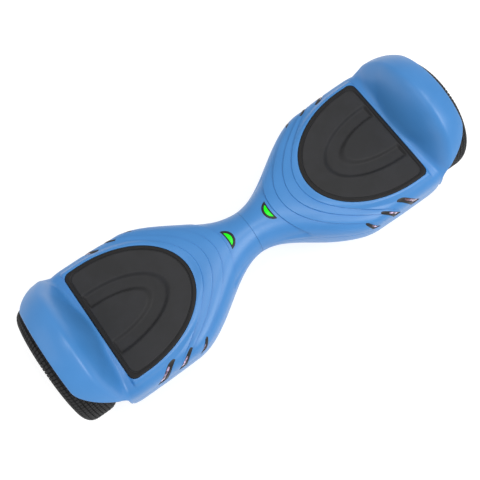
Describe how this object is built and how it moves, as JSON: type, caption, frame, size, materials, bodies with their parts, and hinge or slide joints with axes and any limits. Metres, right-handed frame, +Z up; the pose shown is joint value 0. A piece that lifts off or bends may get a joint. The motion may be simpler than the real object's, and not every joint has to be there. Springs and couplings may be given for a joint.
{
  "type": "self balancing hoverboard",
  "caption": "Two-wheeled self balancing board: two blue half bodies that twist about the axle line, hub motor wheels, sprung foot pads, fenders and edge lights.",
  "frame": {"origin": "on the ground under the middle of the centre joint", "axes": "+X along the axle to the right wheel, -Y towards the front, +Z up"},
  "size_m": [0.592, 0.185, 0.176],
  "materials": {
    "cover_plastic": "moulded ABS, satin paint",
    "pad_rubber": "moulded, fine matte grain",
    "black_plastic": "moulded",
    "silicone": "moulded",
    "circuit_board": "solder mask",
    "green_lens": "lit diffuser",
    "clear_lens": "clear moulded lens",
    "led_strip": "white board with diodes",
    "cast_aluminium": "as cast",
    "steel": "turned",
    "electrical_steel": "stacked laminations",
    "copper_wire": "enamelled windings",
    "magnet": "nickel plated",
    "hub_paint": "silver paint",
    "tyre_rubber": "moulded block tread",
    "bearing_bronze": "sintered",
    "cable_sheath": "extruded sheath",
    "battery_wrap": "heat-shrink film",
    "button_metal": "anodised"
  },
  "bodies": {
    "left_half": {"top_cover_left": "cover_plastic", "bottom_cover_left": "cover_plastic", "chassis_left": "cast_aluminium", "pad_bumpers_left": "silicone", "sensor_board_left": "circuit_board", "status_lens_left": "green_lens", "status_bezel_left": "black_plastic", "claw_lenses_left": "clear_lens", "claw_bezels_left": "black_plastic", "light_strips_left": "led_strip", "motor_axle_left": "steel", "stator_carrier_left": "cast_aluminium", "stator_core_left": "electrical_steel", "stator_coils_left": "copper_wire", "axle_clamp_left": "cast_aluminium", "clamp_screws_left": "steel", "cover_screws_left": "steel", "pivot_tube": "steel", "main_board": "circuit_board", "main_harness": "cable_sheath", "motor_cable_left": "cable_sheath", "pivot_nut": "steel"},
    "right_half": {"top_cover_right": "cover_plastic", "bottom_cover_right": "cover_plastic", "chassis_right": "cast_aluminium", "pad_bumpers_right": "silicone", "sensor_board_right": "circuit_board", "status_lens_right": "green_lens", "status_bezel_right": "black_plastic", "claw_lenses_right": "clear_lens", "claw_bezels_right": "black_plastic", "light_strips_right": "led_strip", "motor_axle_right": "steel", "stator_carrier_right": "cast_aluminium", "stator_core_right": "electrical_steel", "stator_coils_right": "copper_wire", "axle_clamp_right": "cast_aluminium", "clamp_screws_right": "steel", "cover_screws_right": "steel", "pivot_bushes": "bearing_bronze", "battery_pack": "battery_wrap", "battery_strap": "black_plastic", "motor_cable_right": "cable_sheath", "button_ring": "black_plastic", "charging_socket": "steel"},
    "left_wheel": {"rotor_shell_left": "cast_aluminium", "magnets_left": "magnet", "wheel_bearings_left": "steel", "hub_cover_left": "hub_paint", "tyre_left": "tyre_rubber"},
    "right_wheel": {"rotor_shell_right": "cast_aluminium", "magnets_right": "magnet", "wheel_bearings_right": "steel", "hub_cover_right": "hub_paint", "tyre_right": "tyre_rubber"},
    "left_pad": {"foot_pad_left": "pad_rubber", "pad_carrier_left": "black_plastic"},
    "right_pad": {"foot_pad_right": "pad_rubber", "pad_carrier_right": "black_plastic"},
    "power_button": {"power_button": "button_metal"}
  },
  "joints": [
    {"name": "centre_twist", "type": "hinge", "parent": "left_half", "child": "right_half", "pos_m": [0, 0, 0.0805], "axis": [1, 0, 0], "range_deg": [-15, 15]},
    {"name": "left_wheel_spin", "type": "hinge", "parent": "left_half", "child": "left_wheel", "pos_m": [-0.27, 0, 0.0805], "axis": [1, 0, 0], "continuous": true},
    {"name": "right_wheel_spin", "type": "hinge", "parent": "right_half", "child": "right_wheel", "pos_m": [0.27, 0, 0.0805], "axis": [1, 0, 0], "continuous": true},
    {"name": "left_pad_press", "type": "slide", "parent": "left_half", "child": "left_pad", "axis": [0, 0, 1], "range_m": [-0.0015, 0], "stiffness_N_per_m": 6000, "springref_m": 0.0015, "deforming": ["pad_bumpers_left"]},
    {"name": "right_pad_press", "type": "slide", "parent": "right_half", "child": "right_pad", "axis": [0, 0, 1], "range_m": [-0.0015, 0], "stiffness_N_per_m": 6000, "springref_m": 0.0015, "deforming": ["pad_bumpers_right"]},
    {"name": "button_press", "type": "slide", "parent": "right_half", "child": "power_button", "axis": [0, 0, 1], "range_m": [0, 0.001], "stiffness_N_per_m": 600, "springref_m": -0.001}
  ]
}
